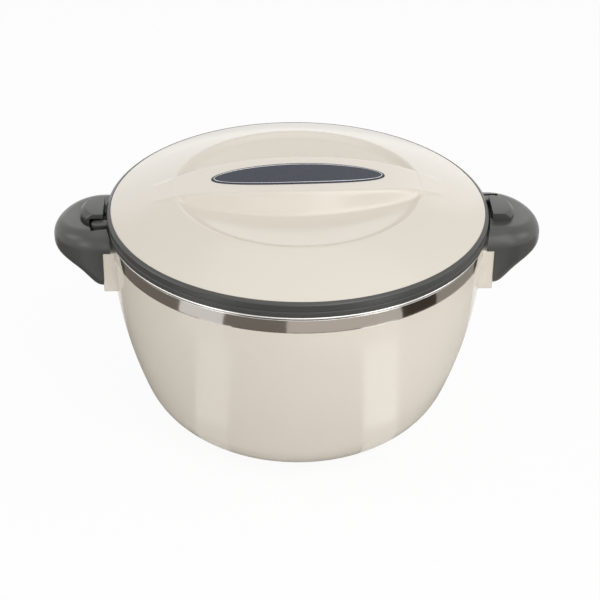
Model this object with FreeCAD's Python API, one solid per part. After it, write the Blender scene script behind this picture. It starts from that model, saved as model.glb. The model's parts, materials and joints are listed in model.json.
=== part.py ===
import FreeCAD
import Part
import math
import os

# Insulated casserole: a foamed plastic bowl with a steel liner, and a foamed lid that turns to lock.
# Millimetres. The origin is at the middle of the foot, +Z is up, and the two handles lie along X.

# Outer bowl
side_arc = 300.0
side_arc_centre = (-177.0, 137.0)
base_arc = 48.0
base_arc_centre_x = 58.76
shell_wall = 2.4
shell_top = 141.8
foot_inner_radius = 50.0
foot_recess = 1.5
boss_root_x = 110.0
boss_face_x = 126.6
boss_half_width = 33.0
boss_bottom = 108.6
boss_top = 137.0
boss_corner = 3.0

# Steel liner of the bowl and the steel band round its mouth
liner_inset = 12.5
liner_wall = 0.6
liner_turn_z = 139.6
foam_top = 139.3
foam_clear = 0.3
liner_turn_radius = 3.0
bead_radius = 1.3
bead_ring_radius = 122.9
bead_z = 143.1
band_bottom = 132.4
band_top = 141.7
band_wall = 0.6
band_radius = 123.2

# Handles
handle_radius = 33.5
handle_root_x = 112.0
handle_reach = 160.4
handle_gap_radius = 126.0
handle_top = 149.0
handle_tip_top = 143.2
handle_tip_bottom = 126.4
handle_tail_bottom = 110.6
handle_top_round = 11.0
handle_rim_round = 8.0
grip_groove_radius = 9.0
grip_groove_at = (146.5, 118.5)
grip_groove_reach = 17.0

# Hook on the handle, its open end beside the notch and its closed end away from it
hook_foot_z = 140.0
hook_top = 154.0
hook_inner_x = 127.0
hook_open_end = 11.4
hook_open_x = 137.6
hook_middle = (142.2, -1.5)
hook_closed_end = 13.4
hook_closed_x = 138.6
hook_chamfer = 3.0
hook_edge_round = 0.6

# Track that the lid's lug turns along, and the dished notch that it drops into
lug_track_bottom = 144.4
lug_track_top = 150.7
lug_track_radius = 136.2
lug_track_start = -2.4
lug_track_end = 10.1
notch_centre = (127.5, 5.0)
notch_rim_radius = 15.5
notch_depth = 5.4
notch_lip_round = 2.4

# Handle screws, from inside the shell into brass inserts in the handle
screw_y = 18.0
screw_z = 127.5
screw_radius = 2.5
screw_head_radius = 4.6
screw_head_height = 3.0
screw_slot_radius = 1.6
screw_slot_depth = 1.6
screw_seat_x = 119.0
screw_end_x = 135.5
washer_radius = 5.6
washer_thickness = 1.0
insert_radius = 4.0
insert_start_x = 127.6
insert_end_x = 136.5

# Lid
lid_turn_at_rest = 2.3
lug_angle = 7.25
ring_radius = 125.0
ring_bottom = 144.75
ring_top = 154.9
ring_line_bottom = 147.9
ring_line_top = 149.0
ring_line_depth = 0.45
ring_swell_bottom = 151.5
ring_web_bottom = 149.3
ring_web_top = 151.8
ring_inner_radius = 111.2
ring_wall_inner = 122.4
groove_inner_radius = 113.2
cover_radius = 122.6
cover_edge_z = 154.4
cover_rise = 24.0
cover_wall = 2.2
recess_radius = 80.4
recess_floor_z = 162.8
recess_flat_radius = 60.0
ridge_top_z = 176.9
ridge_crown = 556.0
ridge_crown_reach = 65.0
ridge_end_arc_reach = 92.0
ridge_half_width = 24.8
ridge_side_arc = 265.0
ridge_side_slope = 0.5
ridge_half_length = 92.0
ridge_edge_round = 2.5
ridge_root_depth = 8.0
ridge_end_sink = 1.0
ridge_end_swell = 0.9
lug_reach = 135.0
lug_root = 123.4
lug_width = 8.2
lug_bottom = 144.9
lug_top = 150.3
lug_end_round = 3.0
lug_edge_round = 0.8
lid_liner_wall = 0.6
lid_liner_flange_top = 144.35
lid_liner_plug_radius = 107.4
lid_liner_plug_bottom = 137.0
lid_liner_round = 5.0
lid_liner_crown_z = 139.5
gasket_bottom = 142.95
gasket_top = 148.9
gasket_inner_radius = 113.6
gasket_outer_radius = 120.6
gasket_lip_height = 2.2

# Badge on the ridge
badge_half_length = 56.5
badge_half_width = 14.4
badge_depth = 1.0
badge_rise = 0.5
border_inset = 1.8
border_width = 0.7
border_rise = 0.15
border_depth = 0.4
border_fit = 0.02

# Foam filling holes and their plugs
plug_stem_radius = 6.0
plug_cap_radius = 9.0
plug_cap_height = 1.1
plug_stem_height = 4.5

fit = 0.05
up = FreeCAD.Vector(0, 0, 1)
outward = FreeCAD.Vector(1, 0, 0)
along_y = FreeCAD.Vector(0, 1, 0)
origin = FreeCAD.Vector(0, 0, 0)


def point(x, z, y=0.0):
    return FreeCAD.Vector(x, y, z)


def drawn(start, *steps):
    """Closed outline in the XZ plane. A step is a corner (x, z) or an arc (x, z through, x, z end)."""
    here = point(*start)
    edges = []
    for step in steps + (start,):
        there = point(step[-2], step[-1])
        if len(step) == 4:
            edges.append(Part.Arc(here, point(step[0], step[1]), there).toShape())
        elif here.distanceToPoint(there) > 1e-6:
            edges.append(Part.LineSegment(here, there).toShape())
        here = there
    return Part.Wire(edges)


def turned(start, *steps):
    """Solid turned about the vertical axis from a closed outline."""
    return Part.Face(drawn(start, *steps)).revolve(origin, up, 360)


def cylinder(radius, height, x, y, z, direction=up):
    return Part.makeCylinder(radius, height, FreeCAD.Vector(x, y, z), direction)


def box(x0, x1, y0, y1, z0, z1):
    return Part.makeBox(x1 - x0, y1 - y0, z1 - z0, FreeCAD.Vector(x0, y0, z0))


def about_axis(shape, degrees):
    moved = shape.copy()
    moved.rotate(origin, up, degrees)
    return moved


def rounded(shape, radius, chosen):
    """Round the chosen edges, or leave them sharp where the rounding can't be made."""
    edges = [edge for edge in shape.Edges if chosen(edge)]
    try:
        result = shape.makeFillet(radius, edges)
        if result.isValid() and result.Volume > 0:
            return result
    except Exception:
        pass
    print("left sharp:", radius, len(edges))
    return shape


def single(shape):
    """The one solid of a boolean result, or the compound if there are more."""
    merged = shape.removeSplitter()
    if len(merged.Solids) == 1:
        return merged.Solids[0]
    return merged


# Bowl profile: two arcs, inset evenly from the outer surface

def side_radius(z, inset=0.0):
    centre_x, centre_z = side_arc_centre
    return centre_x + math.sqrt((side_arc - inset) ** 2 - (z - centre_z) ** 2)


def bowl_solid(inset, top):
    """Full solid inside the bowl's outer surface, inset by a distance, up to a height."""
    centre_x, centre_z = side_arc_centre
    reach = side_arc - base_arc
    down = (centre_z - base_arc) / reach
    out = (base_arc_centre_x - centre_x) / reach
    small = base_arc - inset
    join = (base_arc_centre_x + small * out, base_arc - small * down)
    half = math.atan2(out, down) / 2
    low = (base_arc_centre_x + small * math.sin(half), base_arc - small * math.cos(half))
    middle_z = (join[1] + top) / 2
    return turned(
        (0, inset),
        (base_arc_centre_x, inset),
        (low[0], low[1], join[0], join[1]),
        (side_radius(middle_z, inset), middle_z, side_radius(top, inset), top),
        (0, top),
    )


def boss(side):
    """Lug on the bowl's side that carries a handle."""
    block = box(boss_root_x, boss_face_x, -boss_half_width, boss_half_width, boss_bottom, boss_top)
    block = rounded(block, boss_corner, lambda edge: outer_low_edge(edge, boss_face_x, boss_bottom))
    return about_axis(block, 0 if side == "right" else 180)


def outer_low_edge(edge, x, z):
    box_ = edge.BoundBox
    return abs(box_.XMin - x) < 0.01 and abs(box_.ZMax - z) < 0.01


def screw_places(side):
    turn = 0 if side == "right" else 180
    return [(y, turn) for y in (-screw_y, screw_y)]


def along_screws(side, radius, start_x, end_x):
    """Cylinders along the two screw axes of one handle."""
    rods = []
    for y, turn in screw_places(side):
        rod = cylinder(radius, end_x - start_x, start_x, y, screw_z, outward)
        rods.append(about_axis(rod, turn))
    return rods


def make_outer_bowl():
    body = bowl_solid(0, shell_top)
    for side in ("left", "right"):
        body = body.fuse(boss(side))
    body = body.cut(bowl_solid(shell_wall, shell_top + 1))
    band_seat = turned(
        (band_radius - band_wall, band_bottom),
        (handle_reach, band_bottom),
        (handle_reach, shell_top + 1),
        (band_radius - band_wall, shell_top + 1),
    )
    keep = box(-handle_reach, handle_reach, -boss_half_width, boss_half_width, 0, boss_top)
    ring_slot = turned(
        (band_radius - band_wall, band_bottom),
        (band_radius + fit, band_bottom),
        (band_radius + fit, shell_top + 1),
        (band_radius - band_wall, shell_top + 1),
    )
    body = body.cut(band_seat.cut(keep)).cut(ring_slot)
    body = body.cut(cylinder(foot_inner_radius, foot_recess, 0, 0, 0))
    body = body.cut(cylinder(plug_stem_radius + fit, plug_stem_height, 0, 0, 0))
    for side in ("left", "right"):
        for hole in along_screws(side, screw_radius + 2 * fit, boss_root_x, insert_end_x):
            body = body.cut(hole)
        for seat in along_screws(side, washer_radius + fit, boss_root_x, screw_seat_x + washer_thickness):
            body = body.cut(seat)
    return single(body)


def make_bowl_foam():
    body = bowl_solid(shell_wall + fit, foam_top).cut(bowl_solid(liner_inset - fit, shell_top + 5))
    body = body.cut(cylinder(plug_stem_radius + fit, plug_stem_height + 2, 0, 0, 0))
    for side in ("left", "right"):
        seat = screw_seat_x + washer_thickness + foam_clear
        for rod in along_screws(side, washer_radius + foam_clear, boss_root_x - 10, seat):
            kept = cylinder(screw_seat_x - screw_head_height - foam_clear, foam_top, 0, 0, 0)
            body = body.cut(rod.cut(kept))
    return single(body)


def make_inner_bowl():
    """Pressed steel bowl with a flange that ends in a rolled bead."""
    outer = bowl_solid(liner_inset, liner_turn_z)
    inner = bowl_solid(liner_inset + liner_wall, liner_turn_z + 1)
    wall = outer.cut(inner)
    wall_outer = side_radius(liner_turn_z, liner_inset)
    wall_inner = side_radius(liner_turn_z, liner_inset + liner_wall)
    big = liner_turn_radius
    small = big - (wall_outer - wall_inner)
    slant = math.sqrt(0.5)
    centre_x = wall_inner + big
    top = liner_turn_z + big
    neck = bead_ring_radius - bead_radius + 0.2
    flange = turned(
        (wall_inner, liner_turn_z),
        (centre_x - big * slant, liner_turn_z + big * slant, centre_x, top),
        (neck, top),
        (neck, top - liner_wall),
        (centre_x, liner_turn_z + small),
        (centre_x - small * slant, liner_turn_z + small * slant, wall_outer, liner_turn_z),
    )
    bead = Part.makeTorus(bead_ring_radius, bead_radius, FreeCAD.Vector(0, 0, bead_z))
    return single(wall.fuse(flange).fuse(bead))


def make_rim_band():
    return turned(
        (band_radius - band_wall + fit, band_bottom),
        (band_radius, band_bottom),
        (band_radius, band_top),
        (band_radius - band_wall + fit, band_top),
    )


def make_base_plug():
    cap = cylinder(plug_cap_radius, plug_cap_height, 0, 0, foot_recess - plug_cap_height)
    return single(cap.fuse(cylinder(plug_stem_radius, plug_stem_height, 0, 0, foot_recess)))


# Handles

def handle_side_outline():
    """Handle seen from the front: its top falls to the tip, and its underside sweeps down to the boss."""
    return drawn(
        (boss_root_x, boss_top + fit),
        (boss_face_x + fit, boss_top + fit),
        (boss_face_x + fit, handle_tail_bottom),
        (130.3, 111.35, 133.4, 113.5),
        (138.2, 118.5),
        (143.5, 122.5, 150.5, 124.7),
        (handle_reach, handle_tip_bottom),
        (handle_reach, handle_tip_top),
        (145.0, 147.6, 128.0, handle_top),
        (boss_root_x, handle_top),
    )


def handle_plan():
    """Handle seen from above: a half round, with its inner edge following the lid ring."""
    corner = point(boss_face_x, 0, -handle_radius)
    tip = point(boss_face_x + handle_radius, 0)
    far = point(boss_face_x, 0, handle_radius)
    inner_near = point(handle_root_x, 0, -handle_radius)
    inner_far = point(handle_root_x, 0, handle_radius)
    edges = [
        Part.LineSegment(inner_near, corner).toShape(),
        Part.Arc(corner, tip, far).toShape(),
        Part.LineSegment(far, inner_far).toShape(),
        Part.LineSegment(inner_far, inner_near).toShape(),
    ]
    return Part.Face(Part.Wire(edges)).extrude(up * (handle_top + 10))


def handle_body():
    wide = handle_radius + 5
    side = Part.Face(drawn_wire_at(handle_side_outline(), -wide)).extrude(along_y * (2 * wide))
    body = side.common(handle_plan())
    body = rounded(body, handle_top_round, on_top_rim)
    body = rounded(body, handle_rim_round, on_low_rim)
    return body.cut(cylinder(handle_gap_radius, hook_top, 0, 0, 0))


def drawn_wire_at(wire, y):
    moved = wire.copy()
    moved.translate(FreeCAD.Vector(0, y, 0))
    return moved


def on_top_rim(edge):
    box_ = edge.BoundBox
    high = box_.ZMin > handle_tip_top - 1
    outside = max(abs(box_.YMin), abs(box_.YMax)) > handle_radius - 0.5
    crosswise = box_.YMax - box_.YMin > 2 * handle_radius - 1
    return high and outside and not (crosswise and box_.XMax - box_.XMin < 0.5)


def on_low_rim(edge):
    box_ = edge.BoundBox
    outside = box_.XMax > boss_face_x + 5 and box_.ZMax < handle_tip_bottom + 1
    wide = box_.YMax - box_.YMin > 1.9 * handle_radius
    return outside and not (wide and box_.XMax - box_.XMin < 0.5)


def hook():
    """Raised bridge on the handle that the lid's lug turns under."""
    inner_near = point(hook_inner_x, hook_foot_z, -hook_closed_end)
    outer_near = point(hook_closed_x, hook_foot_z, -hook_closed_end)
    outer_middle = point(hook_middle[0], hook_foot_z, hook_middle[1])
    outer_far = point(hook_open_x, hook_foot_z, hook_open_end)
    inner_far = point(hook_inner_x, hook_foot_z, hook_open_end)
    edges = [
        Part.LineSegment(inner_near, outer_near).toShape(),
        Part.Arc(outer_near, outer_middle, outer_far).toShape(),
        Part.LineSegment(outer_far, inner_far).toShape(),
        Part.LineSegment(inner_far, inner_near).toShape(),
    ]
    block = Part.Face(Part.Wire(edges)).extrude(up * (hook_top - hook_foot_z))
    curved = [edge for edge in block.Edges if on_hook_top(edge) and edge.BoundBox.XMax > hook_middle[0] - 1]
    block = block.makeChamfer(hook_chamfer, curved)
    block = rounded(block, hook_edge_round, on_hook_edge)
    return block.cut(cylinder(handle_gap_radius, hook_top, 0, 0, 0))


def on_hook_top(edge):
    return edge.BoundBox.ZMin > hook_top - 0.01


def on_hook_edge(edge):
    box_ = edge.BoundBox
    return box_.ZMin > hook_top - hook_chamfer - 0.01 and box_.XMax > hook_inner_x + 1


def sector(radius_in, radius_out, z0, z1, start, end):
    """Part of a flat ring between two angles, measured from +X."""
    ring = turned((radius_in, z0), (radius_out, z0), (radius_out, z1), (radius_in, z1))
    far = 2 * radius_out
    corners = [origin]
    for degrees in (start, (start + end) / 2, end):
        angle = math.radians(degrees)
        corners.append(FreeCAD.Vector(far * math.cos(angle), far * math.sin(angle), 0))
    corners.append(origin)
    wedge = Part.Face(Part.makePolygon(corners)).extrude(up * (z1 + 1))
    return ring.common(wedge)


def on_notch_lip(edge):
    """Edge where the notch's dish meets the handle's top."""
    reach = math.hypot(edge.CenterOfMass.x - notch_centre[0], edge.CenterOfMass.y - notch_centre[1])
    return edge.BoundBox.ZMin > handle_top - notch_lip_round and reach < notch_rim_radius


def dished(body):
    """Handle with the rounded dish that leaves room for the lug to drop in beside the hook."""
    dish = (notch_rim_radius ** 2 + notch_depth ** 2) / (2 * notch_depth)
    centre = point(notch_centre[0], handle_top - notch_depth + dish, notch_centre[1])
    return rounded(body.cut(Part.makeSphere(dish, centre)), notch_lip_round, on_notch_lip)


def make_handle(side):
    body = dished(handle_body()).fuse(hook())
    body = body.cut(
        sector(
            handle_root_x, lug_track_radius, lug_track_bottom, lug_track_top, lug_track_start, lug_track_end
        )
    )
    open_side = math.degrees(math.asin(hook_open_end / lug_track_radius)) - 1
    above = sector(handle_root_x, lug_track_radius, lug_track_bottom, hook_top + 1, open_side, lug_track_end)
    under_hook = box(boss_root_x, handle_reach, -hook_closed_end, hook_open_end, hook_foot_z, hook_top + 2)
    body = body.cut(above.cut(under_hook))
    groove_x, groove_z = grip_groove_at
    groove = cylinder(
        grip_groove_radius, 2 * grip_groove_reach, groove_x, -grip_groove_reach, groove_z, along_y
    )
    for end in (-grip_groove_reach, grip_groove_reach):
        groove = groove.fuse(Part.makeSphere(grip_groove_radius, FreeCAD.Vector(groove_x, end, groove_z)))
    body = body.cut(groove)
    for y, turn in screw_places("right"):
        length = insert_end_x + 0.5 - screw_seat_x
        body = body.cut(cylinder(insert_radius + fit, length, screw_seat_x, y, screw_z, outward))
    return about_axis(single(body), 0 if side == "right" else 180)


def make_screws(side):
    screws = []
    shanks = along_screws(side, screw_radius, screw_seat_x - 0.01, screw_end_x)
    heads = along_screws(side, screw_head_radius, screw_seat_x - screw_head_height, screw_seat_x)
    face = screw_seat_x - screw_head_height
    slots = along_screws(side, screw_slot_radius, face - 1, face + screw_slot_depth)
    for shank, head, slot in zip(shanks, heads, slots):
        screws.append(single(head.cut(slot).fuse(shank)))
    return Part.makeCompound(screws)


def make_washers(side):
    end = screw_seat_x + washer_thickness
    discs = along_screws(side, washer_radius, screw_seat_x, end)
    holes = along_screws(side, screw_radius + fit, screw_seat_x - 1, end + 1)
    return Part.makeCompound([disc.cut(hole) for disc, hole in zip(discs, holes)])


def make_inserts(side):
    bodies = along_screws(side, insert_radius, insert_start_x, insert_end_x)
    holes = along_screws(side, screw_radius + fit, insert_start_x - 1, insert_end_x + 1)
    return Part.makeCompound([body.cut(hole) for body, hole in zip(bodies, holes)])


# Lid

def dome_radius():
    return (cover_radius ** 2 + cover_rise ** 2) / (2 * cover_rise)


def dome_centre_z():
    return cover_edge_z + cover_rise - dome_radius()


def dome_z(radius, inset=0.0):
    return dome_centre_z() + math.sqrt((dome_radius() - inset) ** 2 - radius ** 2)


def dome_solid(inset, bottom):
    edge_radius = cover_radius - inset
    middle = edge_radius / 2
    return turned(
        (0, bottom),
        (edge_radius, bottom),
        (edge_radius, dome_z(edge_radius, inset)),
        (middle, dome_z(middle, inset), 0, dome_z(0, inset)),
    )


def recess_cutter(inset):
    """Round dish cut into the dome: flat in the middle, curving up to its rim."""
    rim_z = dome_z(recess_radius)
    run = recess_radius - recess_flat_radius
    rise = rim_z - recess_floor_z
    arc = (run ** 2 + rise ** 2) / (2 * rise)
    floor = recess_floor_z - inset
    arc_in = arc + inset
    above = ridge_top_z + cover_rise
    reach = recess_radius + 4
    middle = recess_flat_radius + (reach - recess_flat_radius) / 2

    def z_at(radius):
        across = radius - recess_flat_radius
        return floor + arc_in - math.sqrt(arc_in ** 2 - across ** 2)
    return turned(
        (0, floor),
        (recess_flat_radius, floor),
        (middle, z_at(middle), reach, z_at(reach)),
        (reach, above),
        (0, above),
    )


def ridge_plan(z, spread):
    """Lens outline of the ridge at one height, widened by its side slope."""
    half = ridge_half_width + spread
    drop = ridge_half_length ** 2 / (2 * ridge_side_arc)
    end = half - drop
    corners = []
    for sign in (-1, 1):
        near = FreeCAD.Vector(-sign * ridge_half_length, sign * end, z)
        middle = FreeCAD.Vector(0, sign * half, z)
        far = FreeCAD.Vector(sign * ridge_half_length, sign * end, z)
        corners.append((near, middle, far))
    low, high = corners
    return Part.Wire([
        Part.Arc(*low).toShape(),
        Part.LineSegment(low[2], high[0]).toShape(),
        Part.Arc(*high).toShape(),
        Part.LineSegment(high[2], low[0]).toShape(),
    ])


def ridge_solid(inset):
    """Grip ridge: sloping sides, and a top that curves down into the dome at both ends."""
    top_z = ridge_top_z - inset
    side_shift = -inset * math.sqrt(1 + ridge_side_slope ** 2)
    low_z = recess_floor_z - ridge_root_depth
    high_z = ridge_top_z + ridge_root_depth
    low = ridge_plan(low_z, (ridge_top_z - low_z) * ridge_side_slope + side_shift)
    high = ridge_plan(high_z, (ridge_top_z - high_z) * ridge_side_slope + side_shift)
    block = Part.makeLoft([low, high], True, True)
    reach = ridge_crown_reach
    shoulder_z = top_z - reach ** 2 / (2 * ridge_crown)
    end = ridge_end_arc_reach
    end_z = dome_z(end) - ridge_end_sink - inset
    middle = (reach + end) / 2
    middle_z = (shoulder_z + end_z) / 2 + ridge_end_swell
    outline = drawn(
        (-end, low_z),
        (end, low_z),
        (end, end_z),
        (middle, middle_z, reach, shoulder_z),
        (0, top_z, -reach, shoulder_z),
        (-middle, middle_z, -end, end_z),
    )
    wide = 2 * ridge_half_width
    side = Part.Face(drawn_wire_at(outline, -wide)).extrude(along_y * (2 * wide))
    body = block.common(side)
    if inset == 0:
        body = rounded(body, ridge_edge_round, on_ridge_top)
    return body


def on_ridge_top(edge):
    box_ = edge.BoundBox
    high = box_.ZMin > dome_z(ridge_end_arc_reach) - 2.0
    lengthwise = box_.XMax - box_.XMin > 10
    return high and lengthwise and box_.YMax * box_.YMin > 0


def cover_body(inset):
    """Solid inside the lid's outer surface, inset by a distance."""
    dome = dome_solid(inset, ring_web_top + fit)
    ridge = ridge_solid(inset)
    whole = dome.cut(recess_cutter(inset)).fuse(ridge)
    return whole.common(cylinder(cover_radius, ridge_top_z, 0, 0, ring_web_top + fit))


def badge_oval(shrink):
    """Upright oval column that the badge's pieces are cut from."""
    oval = Part.Ellipse(origin, badge_half_length - shrink, badge_half_width - shrink)
    face = Part.Face(Part.Wire([oval.toShape()]))
    return face.extrude(up * (2 * ridge_top_z))


def crown_layer(low, high):
    """Layer between two copies of the ridge's crowned top, measured up from it."""
    reach = badge_half_length + 10
    wide = badge_half_width + 10

    def crown_z(x, offset):
        radius = ridge_crown + offset
        return ridge_top_z - ridge_crown + math.sqrt(radius ** 2 - x ** 2)
    outline = drawn(
        (-reach, crown_z(reach, low)),
        (0, crown_z(0, low), reach, crown_z(reach, low)),
        (reach, crown_z(reach, high)),
        (0, crown_z(0, high), -reach, crown_z(reach, high)),
    )
    return Part.Face(drawn_wire_at(outline, -wide)).extrude(along_y * (2 * wide))


def make_lid_cover():
    body = cover_body(0).cut(cover_body(cover_wall))
    seat = badge_oval(-fit).common(crown_layer(-badge_depth, 5))
    body = body.cut(seat)
    body = body.cut(cylinder(plug_stem_radius + fit, cover_rise, 0, 0, recess_floor_z))
    return single(body)


def make_badge_plate():
    plate = badge_oval(0).common(crown_layer(-badge_depth + fit, badge_rise))
    line = badge_oval(border_inset).cut(badge_oval(border_inset + border_width))
    return single(plate.cut(line.common(crown_layer(badge_rise - border_depth, badge_rise + 1))))


def make_badge_border():
    line = badge_oval(border_inset + border_fit).cut(badge_oval(border_inset + border_width - border_fit))
    return single(line.common(crown_layer(badge_rise - border_depth + border_fit, badge_rise + border_rise)))


def make_lid_fill_plug():
    top = ridge_top_z - badge_depth - 0.2
    return cylinder(plug_stem_radius, cover_wall + 1.0, 0, 0, top - cover_wall - 1.0)


def ring_lug(turn):
    """Locking lug on the side of the lid ring, with a rounded outer end."""
    half = lug_width / 2
    end = lug_reach - lug_end_round
    slant = lug_end_round * (1 - math.sqrt(0.5))
    start = lug_root
    corner_y = half - lug_end_round
    edges = [
        Part.LineSegment(point(start, lug_bottom, -half), point(end, lug_bottom, -half)).toShape(),
        Part.Arc(
            point(end, lug_bottom, -half),
            point(lug_reach - slant, lug_bottom, -half + slant),
            point(lug_reach, lug_bottom, -corner_y),
        ).toShape(),
        Part.LineSegment(
            point(lug_reach, lug_bottom, -corner_y), point(lug_reach, lug_bottom, corner_y)
        ).toShape(),
        Part.Arc(
            point(lug_reach, lug_bottom, corner_y),
            point(lug_reach - slant, lug_bottom, half - slant),
            point(end, lug_bottom, half),
        ).toShape(),
        Part.LineSegment(point(end, lug_bottom, half), point(start, lug_bottom, half)).toShape(),
        Part.LineSegment(point(start, lug_bottom, half), point(start, lug_bottom, -half)).toShape(),
    ]
    block = Part.Face(Part.Wire(edges)).extrude(FreeCAD.Vector(0, 0, lug_top - lug_bottom))

    def outer_top(edge):
        return edge.BoundBox.ZMin > lug_top - 0.01 and edge.BoundBox.XMax > start + 1
    return about_axis(rounded(block, lug_edge_round, outer_top), turn)


def make_lid_ring():
    lower = ring_radius - 0.2
    line = lower - ring_line_depth
    upper = ring_radius - 0.3
    seam = cover_radius + 2 * fit
    ring = turned(
        (ring_wall_inner, ring_bottom),
        (lower - 0.4, ring_bottom),
        (lower, ring_bottom + 0.5),
        (lower, ring_line_bottom),
        (line, ring_line_bottom + 0.3),
        (line, ring_line_top - 0.3),
        (upper, ring_line_top),
        (upper, ring_swell_bottom),
        (ring_radius, ring_swell_bottom + 1.1, ring_radius - 0.4, ring_top - 0.9),
        (ring_radius - 0.8, ring_top, ring_radius - 1.8, ring_top),
        (seam, ring_top - 0.4),
        (seam, ring_web_top),
        (ring_inner_radius, ring_web_top),
        (ring_inner_radius, lid_liner_flange_top + fit),
        (groove_inner_radius, lid_liner_flange_top + fit),
        (groove_inner_radius, ring_web_bottom),
        (ring_wall_inner, ring_web_bottom),
    )
    for turn in (lug_angle, lug_angle + 180):
        ring = ring.fuse(ring_lug(turn))
    return single(ring)


def lid_liner_solid(shrink, top):
    """Solid below a height that fills the hollow of the lid's steel plate."""
    radius = lid_liner_plug_radius - shrink
    bend = lid_liner_round - shrink
    bottom = lid_liner_plug_bottom + shrink
    slant = math.sqrt(0.5)
    centre_x = radius - bend
    centre_z = bottom + bend
    middle = centre_x / 2
    middle_z = bottom + (lid_liner_crown_z - lid_liner_plug_bottom) * 0.75
    return turned(
        (0, top),
        (0, bottom + lid_liner_crown_z - lid_liner_plug_bottom),
        (middle, middle_z, centre_x, bottom),
        (centre_x + bend * slant, centre_z - bend * slant, radius, centre_z),
        (radius, top),
    )


def make_lid_liner():
    flange_bottom = lid_liner_flange_top - lid_liner_wall
    plug = lid_liner_solid(0, lid_liner_flange_top)
    flange = turned(
        (lid_liner_plug_radius - 1, flange_bottom),
        (groove_inner_radius, flange_bottom),
        (groove_inner_radius, lid_liner_flange_top),
        (lid_liner_plug_radius - 1, lid_liner_flange_top),
    )
    return single(plug.fuse(flange).cut(lid_liner_solid(lid_liner_wall, lid_liner_flange_top + 1)))


def make_lid_foam():
    upper = cover_body(cover_wall + fit)
    plug_z = ridge_top_z - badge_depth - cover_wall - 1.4
    upper = upper.cut(cylinder(plug_stem_radius + foam_clear, cover_rise, 0, 0, plug_z))
    middle = turned(
        (0, lid_liner_flange_top),
        (lid_liner_plug_radius - lid_liner_wall - fit, lid_liner_flange_top),
        (ring_inner_radius - fit, lid_liner_flange_top + fit),
        (ring_inner_radius - fit, ring_web_top + 2),
        (0, ring_web_top + 2),
    )
    lower = lid_liner_solid(lid_liner_wall + fit, lid_liner_flange_top + 0.5)
    return single(upper.fuse(middle).fuse(lower))


def make_lid_gasket():
    """Silicone ring with two soft lips on its underside."""
    middle = (gasket_inner_radius + gasket_outer_radius) / 2
    lip = gasket_bottom + gasket_lip_height
    return turned(
        (gasket_inner_radius, gasket_top),
        (gasket_inner_radius, lip),
        (gasket_inner_radius + 0.2, gasket_bottom),
        (gasket_inner_radius + 1.5, gasket_bottom),
        (middle, lip),
        (gasket_outer_radius - 1.5, gasket_bottom),
        (gasket_outer_radius - 0.2, gasket_bottom),
        (gasket_outer_radius, lip),
        (gasket_outer_radius, gasket_top),
    )


def lid_turned(shape):
    return about_axis(shape, lid_turn_at_rest)


nodes = {
    "outer_bowl": make_outer_bowl,
    "bowl_foam": make_bowl_foam,
    "inner_bowl": make_inner_bowl,
    "rim_band": make_rim_band,
    "base_plug": make_base_plug,
    "lid_ring": make_lid_ring,
    "lid_liner": make_lid_liner,
    "lid_gasket": make_lid_gasket,
    "lid_cover": lambda: lid_turned(make_lid_cover()),
    "lid_foam": lambda: lid_turned(make_lid_foam()),
    "lid_fill_plug": make_lid_fill_plug,
    "badge_plate": lambda: lid_turned(make_badge_plate()),
    "badge_border": lambda: lid_turned(make_badge_border()),
}
for hand in ("left", "right"):
    nodes[hand + "_handle"] = lambda hand=hand: make_handle(hand)
    nodes[hand + "_handle_screws"] = lambda hand=hand: make_screws(hand)
    nodes[hand + "_handle_washers"] = lambda hand=hand: make_washers(hand)
    nodes[hand + "_handle_inserts"] = lambda hand=hand: make_inserts(hand)

os.makedirs("parts", exist_ok=True)
for name, make in nodes.items():
    shape = make()
    print(name, len(shape.Solids), "solid(s)", shape.isValid(), round(shape.Volume / 1000, 2), "cm3")
    shape.exportStep("parts/" + name + ".step")
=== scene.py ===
import json
import math
import bmesh
import bpy
from mathutils import Matrix, Vector


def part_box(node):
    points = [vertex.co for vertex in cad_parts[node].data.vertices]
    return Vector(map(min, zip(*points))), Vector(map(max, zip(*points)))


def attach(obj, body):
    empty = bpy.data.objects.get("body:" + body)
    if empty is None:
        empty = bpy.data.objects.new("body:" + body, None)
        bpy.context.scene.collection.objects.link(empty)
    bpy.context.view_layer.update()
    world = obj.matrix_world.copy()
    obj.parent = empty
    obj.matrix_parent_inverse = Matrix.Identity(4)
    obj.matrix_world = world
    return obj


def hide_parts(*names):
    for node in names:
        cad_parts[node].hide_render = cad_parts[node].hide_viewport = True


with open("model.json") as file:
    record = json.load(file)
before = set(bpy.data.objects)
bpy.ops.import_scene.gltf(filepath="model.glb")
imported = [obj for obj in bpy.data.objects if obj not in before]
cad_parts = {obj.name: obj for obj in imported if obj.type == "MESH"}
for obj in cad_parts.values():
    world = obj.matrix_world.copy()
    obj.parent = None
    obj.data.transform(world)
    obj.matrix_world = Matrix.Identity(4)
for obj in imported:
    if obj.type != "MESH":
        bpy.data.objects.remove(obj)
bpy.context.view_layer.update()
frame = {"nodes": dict(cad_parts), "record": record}        # nodes and record of the imported casserole
print("frame loaded:", len(frame["nodes"]), "nodes")

# Shapes are drawn in millimetres and become metres when they are finished
mm = 0.001
drawing = {
    "roundSegments": 256,
    "holeSegments": 64,
    "cornerSegments": 4,
    "mergeDistance": 0.0005,
    "solidMergeDistance": 0.002,
    "cutPast": 1.0,          # how far a cutting shape reaches past what it cuts
}


# Camera, as the photograph was taken

cameraSet = {
    "target": (0.0, 0.0, 80.0),
    "azimuth": -2.2,
    "elevation": 31.52,
    "distance": 1200.0,
    "roll": 0.68,
    "focalPixels": 1771.86,
    "middlePixel": (296.77, 301.02),
    "picturePixels": 600,
    "sensorWidth": 36.0,
}


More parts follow.
